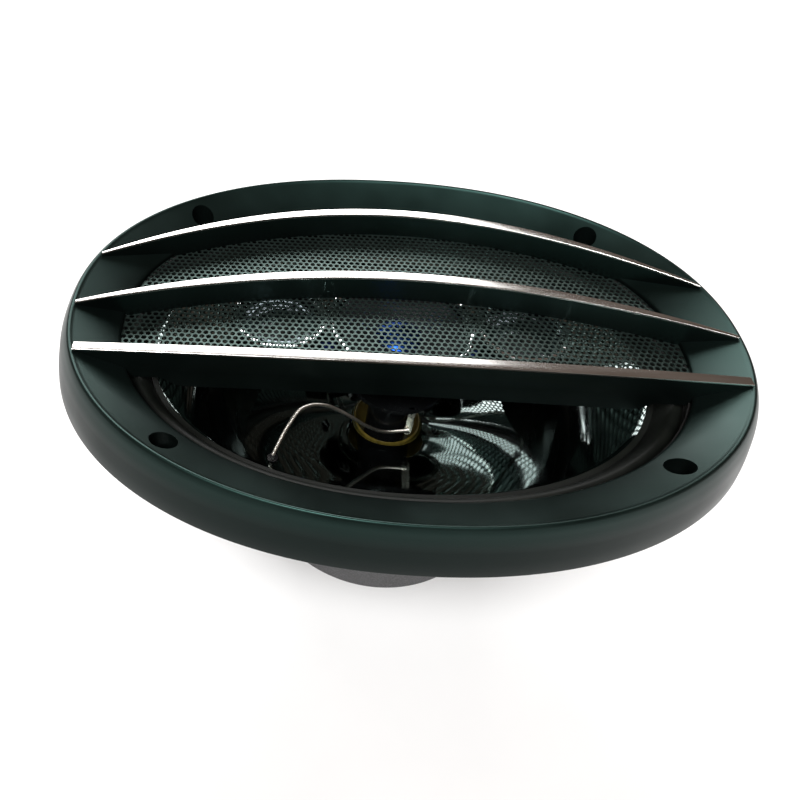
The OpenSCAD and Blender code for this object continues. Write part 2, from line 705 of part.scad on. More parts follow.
ring_t = 1.4;
cup_t = 1.6;
rim_w = 3;
rim_h = 1;
cup_knee = 0.55;        // share of a cup's depth that flares out to the rim
module cup(x, r, r_foot, depth) {
    knee = bridge_z - depth * cup_knee;
    translate([x, bridge_y, 0]) rotate_extrude() polygon([[0, bridge_z - depth], [r_foot, bridge_z - depth],
        [r_foot, knee], [r, bridge_z - ring_t - rim_h], [r, bridge_z - ring_t], [0, bridge_z - ring_t]]);
}
module cup_bore(x, r, r_foot, depth) {
    foot = r_foot - cup_t;
    floor_z = bridge_z - depth + cup_t;
    translate([x, bridge_y, 0]) rotate_extrude() polygon([[0, floor_z], [foot, floor_z],
        [foot, bridge_z - depth * cup_knee], [r - rim_w, bridge_z - ring_t - rim_h], [r - rim_w, bridge_z],
        [0, bridge_z]]);
}
tweeter_foot_r = tweeter_r - 3;
web_h = 5;
web_w = 14;
web_foot = bridge_z - ring_t - web_h;
screw_x = (mid_r + tweeter_x - tweeter_r) / 2;
screw_r = 0.9;
module bridge_housing() {
    color([0.07, 0.07, 0.07]) difference() {
        union() {
            cup(0, mid_r, hub_r, mid_depth);
            for (s = sides) cup(s * tweeter_x, tweeter_r, tweeter_foot_r, tweeter_depth);
            translate([-tweeter_x, bridge_y - web_w / 2, web_foot]) cube([2 * tweeter_x, web_w, web_h]);
        }
        cup_bore(0, mid_r, hub_r, mid_depth);
        for (s = sides) cup_bore(s * tweeter_x, tweeter_r, tweeter_foot_r, tweeter_depth);
        for (s = sides) translate([s * screw_x, bridge_y, web_foot + over]) cylinder(r = screw_r, h = web_h);
    }
}
module bridge_screws() {
    color("gainsboro") for (s = sides) translate([s * screw_x, bridge_y, web_foot + over])
        cylinder(r = screw_r, h = web_h - over);
}

// Bright ring on a driver's rim: rounded outside, sloping in to a thin inner edge
module driver_ring(x, r, w) {
    color("silver") translate([x, bridge_y, bridge_z - ring_t]) rotate_extrude() polygon([[r - w, 0], [r, 0],
        [r, ring_t * 0.6], [r - 0.5, ring_t], [r - 1.6, ring_t], [r - w, ring_t * 0.35]]);
}
module mid_ring() { driver_ring(0, mid_r, rim_w + 0.6); }
module tweeter_ring_left() { driver_ring(-tweeter_x, tweeter_r, rim_w + 0.4); }
module tweeter_ring_right() { driver_ring(tweeter_x, tweeter_r, rim_w + 0.4); }

// Middle driver: a small paper cone with a blue dome
mid_cone_r = mid_r - rim_w - 1;
mid_neck_r = 8;
mid_neck_z = bridge_z - 8;
mid_rim_z = bridge_z - ring_t - 1;
mid_t = 0.6;
module mid_cone() {
    color("dimgray") translate([0, bridge_y, 0]) rotate_extrude() polygon([
        [mid_neck_r, mid_neck_z], [mid_cone_r - 3, mid_rim_z], [mid_cone_r - 1.6, mid_rim_z + 0.7],
        [mid_cone_r, mid_rim_z], [mid_cone_r, mid_rim_z - 0.4], [mid_cone_r - 1.6, mid_rim_z + 0.2],
        [mid_cone_r - 3, mid_rim_z - mid_t], [mid_neck_r, mid_neck_z - mid_t]]);
}
dome_t = 0.4;
module dome(r, rise, z) {
    big = (r * r + rise * rise) / (2 * rise);
    translate([0, 0, z]) difference() {
        translate([0, 0, rise - big]) sphere(r = big);
        translate([0, 0, rise - big]) sphere(r = big - dome_t);
        translate([0, 0, -2 * big]) cube([4 * big, 4 * big, 4 * big], center = true);
    }
}
dome_foot = 1.2;        // how far the middle dome's edge lies on the small cone
module mid_dome() {
    color("royalblue") translate([0, bridge_y, 0]) dome(mid_neck_r + dome_foot, 3.4, mid_neck_z + 0.3);
}
module mid_motor() {
    foot = hub_z + cup_t;
    color("silver") translate([0, bridge_y, foot])
        cylinder(r = hub_r - cup_t - 0.6, h = mid_neck_z - mid_t - dome_travel - 0.3 - foot);
}
tweeter_dome_r = tweeter_r - rim_w - 3.6;
tweeter_dome_z = bridge_z - ring_t - 2.2;
module tweeter_dome(s) {
    flange = 0.4;
    color("lightsteelblue") translate([s * tweeter_x, bridge_y, 0]) {
        dome(tweeter_dome_r, 3, tweeter_dome_z);
        translate([0, 0, tweeter_dome_z - flange / 2]) difference() {
            cylinder(r = tweeter_r - rim_w - 0.8, h = flange);
            translate([0, 0, -over]) cylinder(r = tweeter_dome_r - 0.3, h = flange + 2 * over);
        }
    }
}
module tweeter_dome_left() { tweeter_dome(-1); }
module tweeter_dome_right() { tweeter_dome(1); }
module tweeter_motor(s) {
    foot = bridge_z - tweeter_depth + cup_t;
    color("silver") translate([s * tweeter_x, bridge_y, foot])
        cylinder(r = tweeter_foot_r - cup_t - 0.6, h = tweeter_dome_z - dome_travel - 0.6 - foot);
}
module tweeter_motor_left() { tweeter_motor(-1); }
module tweeter_motor_right() { tweeter_motor(1); }

// Two small capacitors under the bridge, each glued into the corner beside a tweeter's cup
cap_r = 3;
cap_len = 10;
module capacitors() {
    color("steelblue") for (s = sides)
        along_y(s * (tweeter_x - tweeter_foot_r - cap_r - 0.9), bridge_y - cap_len / 2,
            web_foot - cap_r, cap_r, cap_len);
}

grille_bezel();
louvre_trim_front();
louvre_trim_middle();
louvre_trim_rear();
grille_mesh();
panel_gasket();
basket();
clamp_ring();
surround();
cone();
cone_eyelets();
voice_coil_former();
voice_coil_winding();
spider();
front_plate();
magnet();
back_yoke();
basket_rivets();
terminal_board();
terminal_rivets();
positive_tab();
negative_tab();
rear_lead_positive();
rear_lead_negative();
front_lead_left();
front_lead_right();
post();
post_screw();
solder_lug_left();
solder_lug_right();
bridge_housing();
mid_ring();
mid_cone();
mid_dome();
mid_motor();
tweeter_ring_left();
tweeter_ring_right();
tweeter_dome_left();
tweeter_dome_right();
tweeter_motor_left();
tweeter_motor_right();
capacitors();
bridge_screws();
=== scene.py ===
import math

import bmesh
import bpy
from mathutils import Matrix, Vector, geometry


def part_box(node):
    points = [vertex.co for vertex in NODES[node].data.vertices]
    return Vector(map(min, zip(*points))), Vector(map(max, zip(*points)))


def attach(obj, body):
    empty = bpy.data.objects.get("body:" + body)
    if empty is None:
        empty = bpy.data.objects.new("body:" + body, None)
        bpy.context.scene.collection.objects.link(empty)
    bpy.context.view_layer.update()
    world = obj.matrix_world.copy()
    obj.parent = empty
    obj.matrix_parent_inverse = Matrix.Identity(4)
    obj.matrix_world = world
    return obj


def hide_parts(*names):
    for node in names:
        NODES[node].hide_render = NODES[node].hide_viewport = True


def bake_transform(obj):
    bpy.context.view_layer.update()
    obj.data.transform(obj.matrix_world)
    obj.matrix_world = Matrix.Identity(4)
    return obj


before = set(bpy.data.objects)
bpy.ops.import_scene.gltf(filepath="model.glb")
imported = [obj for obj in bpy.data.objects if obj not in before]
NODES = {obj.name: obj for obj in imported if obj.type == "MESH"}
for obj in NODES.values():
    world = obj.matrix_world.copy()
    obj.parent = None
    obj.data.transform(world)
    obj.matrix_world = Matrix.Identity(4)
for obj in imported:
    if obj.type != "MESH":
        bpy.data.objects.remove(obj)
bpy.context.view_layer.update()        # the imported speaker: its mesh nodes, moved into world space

MM = 0.001
SQUARENESS = 2.15        # power of the ovals; 2 is a true ellipse
ROUND = 288              # steps round a smooth oval
LOUVRE_STEPS = 96
ROOT = "frame"
CONE_BODY = "cone_assembly"


def low(node):
    """Lowest corner of a CAD node, in millimetres."""
    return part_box(node)[0] / MM


def high(node):
    """Highest corner of a CAD node, in millimetres."""
    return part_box(node)[1] / MM


# ---- camera ----
EYE = Vector((-48.6, -209.5, 212.3)) * MM
AIM = Vector((-43.1, 0.1, 20)) * MM
TILT = 4.11              # degrees; the far right end of the speaker sits lower
LENS = 35.3              # on a 36 mm sensor


def make_camera():
    data = bpy.data.cameras.new("camera")
    data.lens = LENS
    data.sensor_width = 36
    data.shift_x = 0.137
    data.shift_y = -0.115
    data.clip_start = 0.01
    camera = bpy.data.objects.new("camera", data)
    bpy.context.scene.collection.objects.link(camera)
    facing = (AIM - EYE).to_track_quat("-Z", "Y").to_matrix().to_4x4()
    camera.matrix_world = Matrix.Translation(EYE) @ facing @ Matrix.Rotation(math.radians(TILT), 4, "Z")
    bpy.context.scene.camera = camera


make_camera()


# ---- materials: shared helpers ----
def linear(code):
    """An sRGB hex colour as linear RGBA."""
    parts = [int(code[i:i + 2], 16) / 255 for i in (1, 3, 5)]
    return [c / 12.92 if c <= 0.04045 else ((c + 0.055) / 1.055) ** 2.4 for c in parts] + [1.0]


def add(tree, kind, links=None, values=None, **settings):
    """Adds a node with its own settings, its input values and the sockets linked into it."""
    made = tree.nodes.new(kind)
    for name, value in settings.items():
        setattr(made, name, value)
    for name, value in (values or {}).items():
        made.inputs[name].default_value = value
    for name, socket in (links or {}).items():
        tree.links.new(socket, made.inputs[name])
    return made


def material(name, **values):
    """A new material with one Principled shader; its uniform numbers are set on the sockets."""
    made = bpy.data.materials.new(name)
    made.use_nodes = True
    tree = made.node_tree
    tree.nodes.clear()
    shader = add(tree, "ShaderNodeBsdfPrincipled",
                 values={key.replace("_", " ").title().replace("Ior", "IOR"): value
                         for key, value in values.items()})
    add(tree, "ShaderNodeOutputMaterial", {"Surface": shader.outputs[0]})
    return made, tree, shader


def noise(tree, size, detail=2.0, stretch=(1, 1, 1)):
    """Noise whose grains are size millimetres across, drawn out by stretch along X, Y and Z."""
    place = add(tree, "ShaderNodeTexCoord")
    scaled = add(tree, "ShaderNodeMapping", {"Vector": place.outputs["Object"]},
                 {"Scale": [1 / (size * MM * s) for s in stretch]})
    return add(tree, "ShaderNodeTexNoise", {"Vector": scaled.outputs[0]},
               {"Scale": 1.0, "Detail": detail}).outputs["Fac"]


def between(tree, fac, first, second, start=0.3, stop=0.7):
    """A ramp from the first to the second value as fac goes from start to stop."""
    ramp = add(tree, "ShaderNodeValToRGB", {"Fac": fac})
    stops = ramp.color_ramp.elements
    for element, place, value in ((stops[0], start, first), (stops[1], stop, second)):
        element.position = place
        element.color = linear(value) if isinstance(value, str) else [value] * 3 + [1]
    return ramp.outputs["Color"]


def bump(tree, shader, height, depth):
    """Raises the surface by up to depth millimetres where height is 1."""
    made = add(tree, "ShaderNodeBump", {"Height": height}, {"Strength": 1.0, "Distance": depth * MM})
    tree.links.new(made.outputs[0], shader.inputs["Normal"])


# ---- materials ----
def moulded_abs():
    # Black ABS with a green-grey cast from a finely etched tool; its reflections are turned down towards the
    # bottom of the skirt, which is painted shade
    made, tree, shader = material("moulded_black_abs", ior=1.5, specular_tint=linear("#a2e2d6"))
    place = add(tree, "ShaderNodeTexCoord")
    split = add(tree, "ShaderNodeSeparateXYZ", {"Vector": place.outputs["Object"]})
    # painted shade: the specular level falls from the crest down the skirt
    height = add(tree, "ShaderNodeMath", {0: split.outputs["Z"]}, {1: 1 / (20 * MM)}, operation="MULTIPLY")
    painted_shade_gloss = between(tree, height.outputs[0], 0.14, 0.5, 0.55, 0.97)
    tree.links.new(painted_shade_gloss, shader.inputs["Specular IOR Level"])
    etch = noise(tree, 0.45, 3)
    clouds = noise(tree, 24)
    tree.links.new(between(tree, clouds, "#060a09", "#0b100f"), shader.inputs["Base Color"])
    tree.links.new(between(tree, clouds, 0.3, 0.4), shader.inputs["Roughness"])
    bump(tree, shader, etch, 0.02)
    return made


def brushed_aluminium():
    # Bright aluminium strip, brushed along its length: fine lines that stretch the reflections
    made, tree, shader = material("brushed_aluminium", metallic=1.0)
    lines = noise(tree, 0.12, 2, (260, 1, 1))
    smears = noise(tree, 9, 3, (3, 1, 1))
    tree.links.new(between(tree, smears, "#cfccc8", "#e4e2df"), shader.inputs["Base Color"])
    tree.links.new(between(tree, lines, 0.12, 0.26), shader.inputs["Roughness"])
    bump(tree, shader, lines, 0.004)
    return made


def enamelled_sheet():
    # Punched steel sheet under a thin grey-green enamel
    made, tree, shader = material("enamelled_steel_sheet", ior=1.6, specular_ior_level=0.8,
                                  specular_tint=linear("#c4ece2"))
    patches = noise(tree, 14, 3)
    tree.links.new(between(tree, patches, "#141a18", "#1e2523"), shader.inputs["Base Color"])
    tree.links.new(between(tree, noise(tree, 3), 0.34, 0.44), shader.inputs["Roughness"])
    bump(tree, shader, noise(tree, 0.3), 0.008)
    return made


def black_polypropylene():
    # Injection-moulded cone with a smoked, mirror-gloss film on its face
    made, tree, shader = material("smoked_gloss_polypropylene", metallic=1.0, coat_weight=0.2,
                                  coat_roughness=0.02, coat_ior=1.5)
    haze = noise(tree, 18, 3)
    tree.links.new(between(tree, haze, "#7f8a88", "#8c9795"), shader.inputs["Base Color"])
    tree.links.new(between(tree, haze, 0.04, 0.07), shader.inputs["Roughness"])
    bump(tree, shader, noise(tree, 60, 1), 0.02)
    return made


def butyl_rubber():
    # Pressed butyl rubber, olive grey with a soft waxy sheen
    made, tree, shader = material("butyl_rubber", ior=1.52, specular_ior_level=0.22)
    bloom = noise(tree, 11, 4)
    tree.links.new(between(tree, bloom, "#0a0d0b", "#121511"), shader.inputs["Base Color"])
    tree.links.new(between(tree, bloom, 0.45, 0.6), shader.inputs["Roughness"])
    bump(tree, shader, noise(tree, 0.5, 3), 0.015)
    return made


def powder_coat():
    # Pressed steel under black powder coat: the skin has a fine orange peel
    made, tree, shader = material("black_powder_coat", ior=1.5)
    tree.links.new(between(tree, noise(tree, 30, 3), "#0c0d0e", "#15171a"), shader.inputs["Base Color"])
    tree.links.new(between(tree, noise(tree, 6), 0.38, 0.52), shader.inputs["Roughness"])
    bump(tree, shader, noise(tree, 1.1, 1), 0.03)
    return made


def closed_cell_foam():
    # Die-cut closed-cell foam: matte, with open cut cells that are darker inside, which is painted shade
    made, tree, shader = material("closed_cell_foam", roughness=0.95)
    cells_and_pit_shade = add(tree, "ShaderNodeTexVoronoi", values={"Scale": 1 / (0.6 * MM)})
    place = add(tree, "ShaderNodeTexCoord")
    tree.links.new(place.outputs["Object"], cells_and_pit_shade.inputs["Vector"])
    # painted shade: the colour is darkest in the cell pits, where the bump is lowest
    tree.links.new(between(tree, cells_and_pit_shade.outputs["Distance"], "#0b0b0b", "#1c1c1b", 0.1, 0.8),
                   shader.inputs["Base Color"])
    bump(tree, shader, cells_and_pit_shade.outputs["Distance"], 0.12)
    return made


def pressed_board():
    # Fibre board ring, pressed and dyed black
    made, tree, shader = material("pressed_fibre_board", roughness=0.85)
    fibres = noise(tree, 0.25, 4, (8, 1, 1))
    tree.links.new(between(tree, fibres, "#0d0d0d", "#232221"), shader.inputs["Base Color"])
    bump(tree, shader, fibres, 0.05)
    return made


def plated_metal(name, dark, light, rough, grain=0.3):
    # Plated metal, slightly clouded by handling
    made, tree, shader = material(name, metallic=1.0)
    clouds = noise(tree, 7, 4)
    tree.links.new(between(tree, clouds, dark, light), shader.inputs["Base Color"])
    tree.links.new(between(tree, clouds, rough, rough + 0.1), shader.inputs["Roughness"])
    bump(tree, shader, noise(tree, grain, 2), 0.006)
    return made


def turned_zinc():
    # Zinc-plated steel plate: turned rings under the plating
    made, tree, shader = material("zinc_plated_steel", metallic=1.0)
    place = add(tree, "ShaderNodeTexCoord")
    flat = add(tree, "ShaderNodeMapping", {"Vector": place.outputs["Object"]},
               {"Scale": [1 / (1.2 * MM), 1 / (1.2 * MM), 0]})
    rings = add(tree, "ShaderNodeTexWave", {"Vector": flat.outputs[0]},
                {"Scale": 1.0, "Distortion": 0.6}, wave_type="RINGS", rings_direction="Z")
    clouds = noise(tree, 12, 4)
    tree.links.new(between(tree, clouds, "#8d8f8a", "#b4b5ae"), shader.inputs["Base Color"])
    tree.links.new(between(tree, rings.outputs["Fac"], 0.26, 0.42), shader.inputs["Roughness"])
    bump(tree, shader, rings.outputs["Fac"], 0.006)
    return made


def sintered_ferrite():
    # Sintered strontium ferrite: charcoal ceramic, ground flat, with small pits and chips
    made, tree, shader = material("sintered_ferrite", ior=1.9)
    pits = noise(tree, 0.7, 5)
    tree.links.new(between(tree, noise(tree, 9, 4), "#1c1c1e", "#2b2b2e"), shader.inputs["Base Color"])
    tree.links.new(between(tree, pits, 0.45, 0.7), shader.inputs["Roughness"])
    bump(tree, shader, between(tree, pits, 0, 1, 0.35, 0.45), 0.05)
    return made


def woven_cotton(name, dark, light, thread):
    # Woven cotton stiffened with phenolic resin: threads show as a fine grid
    made, tree, shader = material(name, roughness=0.8, sheen_weight=0.2)
    place = add(tree, "ShaderNodeTexCoord")
    scaled = add(tree, "ShaderNodeMapping", {"Vector": place.outputs["Object"]},
                 {"Scale": [1 / (thread * MM)] * 3})
    warp, weft = (add(tree, "ShaderNodeTexWave", {"Vector": scaled.outputs[0]}, {"Scale": 1.0},
                      bands_direction=axis).outputs["Fac"] for axis in "XY")
    weave = add(tree, "ShaderNodeMath", {0: warp, 1: weft}, operation="MAXIMUM")
    tree.links.new(between(tree, weave.outputs[0], dark, light), shader.inputs["Base Color"])
    bump(tree, shader, weave.outputs[0], 0.08)
    return made


def tinsel_braid():
    # Tinned copper tinsel, twisted: bright, and darker in the gaps between the fine wires, which is painted
    # shade
    made, tree, shader = material("tinned_copper_tinsel", metallic=1.0)
    wires_and_gap_shade = noise(tree, 0.14, 2)
    # painted shade: the colour is darkest where the bump is lowest, between the wires
    tree.links.new(between(tree, wires_and_gap_shade, "#8e8a80", "#e9e6df"), shader.inputs["Base Color"])
    tree.links.new(between(tree, wires_and_gap_shade, 0.42, 0.22), shader.inputs["Roughness"])
    bump(tree, shader, wires_and_gap_shade, 0.03)
    return made


def gloss_abs():
    # Black ABS moulded against a polished tool, with faint sink and rub marks
    made, tree, shader = material("gloss_black_abs", ior=1.54)
    rub = noise(tree, 5, 5)
    tree.links.new(between(tree, noise(tree, 16), "#08090a", "#101213"), shader.inputs["Base Color"])
    tree.links.new(between(tree, rub, 0.12, 0.3), shader.inputs["Roughness"])
    bump(tree, shader, rub, 0.01)
    return made


def chrome_plate():
    # Chrome on moulded plastic: a clear mirror with slight waviness
    made, tree, shader = material("chrome_plate", metallic=1.0)
    wave = noise(tree, 6, 2)
    tree.links.new(between(tree, wave, "#dfe1e3", "#f2f3f4"), shader.inputs["Base Color"])
    tree.links.new(between(tree, wave, 0.04, 0.1), shader.inputs["Roughness"])
    bump(tree, shader, wave, 0.01)
    return made


def coated_paper():
    # Small pressed-paper cone, coated black, with short fibres
    made, tree, shader = material("coated_paper", roughness=0.6)
    fibres = noise(tree, 0.3, 5, (5, 1, 1))
    tree.links.new(between(tree, fibres, "#101214", "#1f2225"), shader.inputs["Base Color"])
    bump(tree, shader, fibres, 0.05)
    return made


def anodised_blue():
    # Dished aluminium cap, anodised blue
    made, tree, shader = material("blue_anodised_aluminium", metallic=1.0)
    clouds = noise(tree, 3, 3)
    tree.links.new(between(tree, clouds, "#123a94", "#2c62cc"), shader.inputs["Base Color"])
    tree.links.new(between(tree, clouds, 0.18, 0.3), shader.inputs["Roughness"])
    bump(tree, shader, noise(tree, 0.2), 0.004)
    return made


def metallised_film():
    # Thin film dome with a vapour-deposited metal skin
    made, tree, shader = material("metallised_film", metallic=1.0)
    crinkle = noise(tree, 2.2, 3)
    tree.links.new(between(tree, crinkle, "#5c666b", "#8d979c"), shader.inputs["Base Color"])
    tree.links.new(between(tree, crinkle, 0.12, 0.25), shader.inputs["Roughness"])
    bump(tree, shader, crinkle, 0.02)
    return made


def amber_film():
    # Polyimide film of the coil's tube: amber and slightly glossy
    made, tree, shader = material("polyimide_film", ior=1.6, roughness=0.3)
    streaks = noise(tree, 2, 3, (1, 1, 4))
    tree.links.new(between(tree, streaks, "#4a4015", "#6b5d26"), shader.inputs["Base Color"])
    bump(tree, shader, streaks, 0.01)
    return made


def wound_copper():
    # Enamelled copper wire, close wound: each turn shows as a ridge, its colour lighter on top and darker in
    # the grooves between turns, which is painted highlight and painted shade
    made, tree, shader = material("enamelled_copper_wire", metallic=1.0)
    place = add(tree, "ShaderNodeTexCoord")
    scaled = add(tree, "ShaderNodeMapping", {"Vector": place.outputs["Object"]},
                 {"Scale": [1 / (0.5 * MM)] * 3})
    turns = add(tree, "ShaderNodeTexWave", {"Vector": scaled.outputs[0]}, {"Scale": 1.0}, bands_direction="Z")
    # painted highlight and shade: the colour follows the ridges and grooves of the turns
    tree.links.new(between(tree, turns.outputs["Fac"], "#7c3414", "#c9743c"), shader.inputs["Base Color"])
    tree.links.new(between(tree, turns.outputs["Fac"], 0.4, 0.22), shader.inputs["Roughness"])
    bump(tree, shader, turns.outputs["Fac"], 0.1)
    return made


def shrink_sleeve():
    # Printed PVC sleeve without any print, shrunk over a capacitor's can
    made, tree, shader = material("pvc_shrink_sleeve", ior=1.53)
    wrinkles = noise(tree, 1.5, 3, (1, 4, 1))
    tree.links.new(between(tree, wrinkles, "#0c1f52", "#16307a"), shader.inputs["Base Color"])
    tree.links.new(between(tree, wrinkles, 0.18, 0.32), shader.inputs["Roughness"])
    bump(tree, shader, wrinkles, 0.02)
    return made


def phenolic_board():
    # Paper laminate soaked in phenolic resin: brown, with a faint fibre
    made, tree, shader = material("phenolic_laminate", ior=1.6, roughness=0.42)
    fibres = noise(tree, 0.4, 4, (10, 1, 1))
    tree.links.new(between(tree, fibres, "#3d2110", "#5c351b"), shader.inputs["Base Color"])
    bump(tree, shader, fibres, 0.02)
    return made


def rubber_glue():
    # Black contact adhesive over the eyelets and solder joints: glossy, slightly uneven
    made, tree, shader = material("black_contact_adhesive", ior=1.5)
    lumps = noise(tree, 1.2, 3)
    tree.links.new(between(tree, lumps, "#08080a", "#141416"), shader.inputs["Base Color"])
    tree.links.new(between(tree, lumps, 0.22, 0.4), shader.inputs["Roughness"])
    bump(tree, shader, lumps, 0.08)
    return made


def studio_paper():
    # White paper sweep with a faint tooth
    made, tree, shader = material("white_paper_sweep", roughness=0.9, specular_ior_level=0.1)
    tooth = noise(tree, 60, 3)
    tree.links.new(between(tree, tooth, "#f6f6f6", "#fafafa"), shader.inputs["Base Color"])
    return made


# ---- shapes: shared helpers ----
def oval_point(a, b, n, turn):
    """A point on an oval with half sizes a and b and squareness n; turn is in radians."""
    c, s = math.cos(turn), math.sin(turn)
    return (math.copysign(a * abs(c) ** (2 / n), c), math.copysign(b * abs(s) ** (2 / n), s))


def reach(x, y, a, b):
    """How far out a point is, as a share of the oval's size: 1 on its edge."""
    return ((abs(x) / a) ** SQUARENESS + (abs(y) / b) ** SQUARENESS) ** (1 / SQUARENESS)


def rounded(corners, steps=4):
    """Turns each corner (x, z, cut) of a closed outline into a curve that starts cut before it."""
    outline = []
    for i, (x, z, cut) in enumerate(corners):
        corner = Vector((x, z))
        before = Vector(corners[i - 1][:2]) - corner
        after = Vector(corners[(i + 1) % len(corners)][:2]) - corner
        if not cut:
            outline.append(corner)
            continue
        start = corner + before.normalized() * min(cut, before.length * 0.45)
        stop = corner + after.normalized() * min(cut, after.length * 0.45)
        for k in range(steps + 1):
            t = k / steps
            outline.append(start * (1 - t) ** 2 + corner * 2 * t * (1 - t) + stop * t * t)
    return outline


def mesh_object(name, points, faces, scale=MM):
    """A new object from points in millimetres."""
    data = bpy.data.meshes.new(name)
    data.from_pydata([Vector(p) * scale for p in points], [], faces)
    made = bpy.data.objects.new(name, data)
    bpy.context.scene.collection.objects.link(made)
    return made


def smooth(piece, angle=32):
    """Faces outward, welds doubles and shades smooth up to an angle in degrees."""
    work = bmesh.new()
    work.from_mesh(piece.data)
    bmesh.ops.remove_doubles(work, verts=work.verts, dist=1e-7)
    bmesh.ops.recalc_face_normals(work, faces=work.faces)
    work.to_mesh(piece.data)
    work.free()
    piece.data.shade_smooth()
    piece.data.set_sharp_from_angle(angle=math.radians(angle))
    return piece


def oval_loft(name, rows, steps=ROUND):
    """A closed wall swept round: each row is [half length, half width, z, squareness]."""
    points = []
    for i in range(steps):
        turn = 2 * math.pi * i / steps
        points += [(*oval_point(a, b, n, turn), z) for a, b, z, n in rows]
    k = len(rows)
    faces = []
    for i in range(steps):
        for j in range(k):
            here, there = i * k, (i + 1) % steps * k
            faces.append((here + j, here + (j + 1) % k, there + (j + 1) % k, there + j))
    return mesh_object(name, points, faces)


def strip(name, sections):
    """A closed bar that joins matching sections of points."""
    m = len(sections[0])
    points = [p for section in sections for p in section]
    faces = []
    for i in range(len(sections) - 1):
        for j in range(m):
            here, there = i * m, (i + 1) * m
            faces.append((here + j, here + (j + 1) % m, there + (j + 1) % m, there + j))
    faces.append(tuple(range(m)))
    faces.append(tuple(len(points) - 1 - j for j in range(m)))
    return mesh_object(name, points, faces)


def circle(radius, x, y, sides=64):
    """Points round a circle about a middle."""
    turns = [2 * math.pi * i / sides for i in range(sides)]
    return [(x + radius * math.cos(t), y + radius * math.sin(t)) for t in turns]


def rod(name, radius, x, y, z0, z1):
    """An upright round bar in millimetres."""
    return strip(name, [[(px, py, z) for px, py in circle(radius, x, y)] for z in (z0, z1)])


def cut_and_join(body, joined=(), cut=()):
    """Adds the joined solids to a body and takes the cut ones away, for good."""
    for tools, operation in ((joined, "UNION"), (cut, "DIFFERENCE")):
        for tool in tools:
            smooth(tool)
            step = body.modifiers.new(tool.name, "BOOLEAN")
            step.operation = operation
            step.object = tool
            step.solver = "EXACT"
    smooth(body)
    bpy.context.view_layer.update()
    result = bpy.data.meshes.new_from_object(body.evaluated_get(bpy.context.evaluated_depsgraph_get()))
    body.modifiers.clear()
    body.data = result
    for tool in list(joined) + list(cut):
        bpy.data.objects.remove(tool)
    return smooth(body)


def place(piece, body, finish, slot, *nodes):
    """Gives a piece its material and its body and hides the CAD nodes that it stands for; the slot is not
    used.
    """
    piece.data.materials.clear()
    piece.data.materials.append(finish)
    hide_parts(*nodes)
    if body:
        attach(piece, body)
    return piece


# ---- leads ----
LEAD_D = 1.5             # mm
STRANDS = 4
STRAND_R = 0.34
LAY_LENGTH = 5.2         # mm for one full twist
LUG_X, HUB_R, LUG_W, LUG_T, LUG_LEN, SOLDER_H = -5, 19, 2.6, 0.8, 15, 2.2
FRONT_ROUTE = [(4.6, 20.8, -21.9), (12.3, 25, -14.1), (19.2, 27.8, -5.9), (24.6, 29, -0.9), (29, 30.2, 2.5),
               (33.9, 31.8, 4.3), (38.4, 34.4, 4.1), (41.6, 38.2, 1.2), (44.2, 42.6, -1.2)]
LAND = (46.8, 47.5)      # where the front leads meet the cone


def spline(points, steps):
    """A smooth curve through the points, with that many steps to each span."""
    points = [Vector(p) for p in points]
    last = len(points) - 1
    curve = []
    for i in range(last):
        p0, p1, p2, p3 = points[max(i - 1, 0)], points[i], points[i + 1], points[min(i + 2, last)]
        for k in range(steps):
            t = k / steps
            curve.append(0.5 * (2 * p1 + (p2 - p0) * t + (2 * p0 - 5 * p1 + 4 * p2 - p3) * t * t
                                + (3 * p1 - p0 - 3 * p2 + p3) * t ** 3))
    return curve + [points[last]]


def twisted_lead(name, path):
    """Fine strands that twist round the path, as one mesh."""
    sides = 8
    points, faces = [], []
    run, side = 0.0, Vector((0.12, 0.2, 1))
    frames = []
    for i, p in enumerate(path):
        along = (path[min(i + 1, len(path) - 1)] - path[max(i - 1, 0)]).normalized()
        side = (side - along * side.dot(along)).normalized()
        run += (p - path[i - 1]).length if i else 0
        frames.append((p, side.copy(), along.cross(side), run))
    for k in range(STRANDS):
        first = len(points)
        for p, u, v, run in frames:
            angle = 2 * math.pi * (run / LAY_LENGTH + k / STRANDS)
            centre = p + (u * math.cos(angle) + v * math.sin(angle)) * (LEAD_D / 2 - STRAND_R - 0.02)
            points += [centre + (u * math.cos(a) + v * math.sin(a)) * STRAND_R
                       for a in (2 * math.pi * j / sides for j in range(sides))]
        for i in range(len(frames) - 1):
            for j in range(sides):
                here, there = first + i * sides, first + (i + 1) * sides
                faces.append((here + j, here + (j + 1) % sides, there + (j + 1) % sides, there + j))
        faces.append(tuple(first + j for j in range(sides)))
        faces.append(tuple(first + (len(frames) - 1) * sides + j for j in reversed(range(sides))))
    return smooth(mesh_object(name, points, faces), 60)


def hang_lead(name, node, route, finish):
    """A lead along its route, baked in place without a body."""
    path = spline(route, 16)
    lead = twisted_lead(name, path)
    place(lead, None, finish, "lead_braid", node)
    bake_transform(lead)


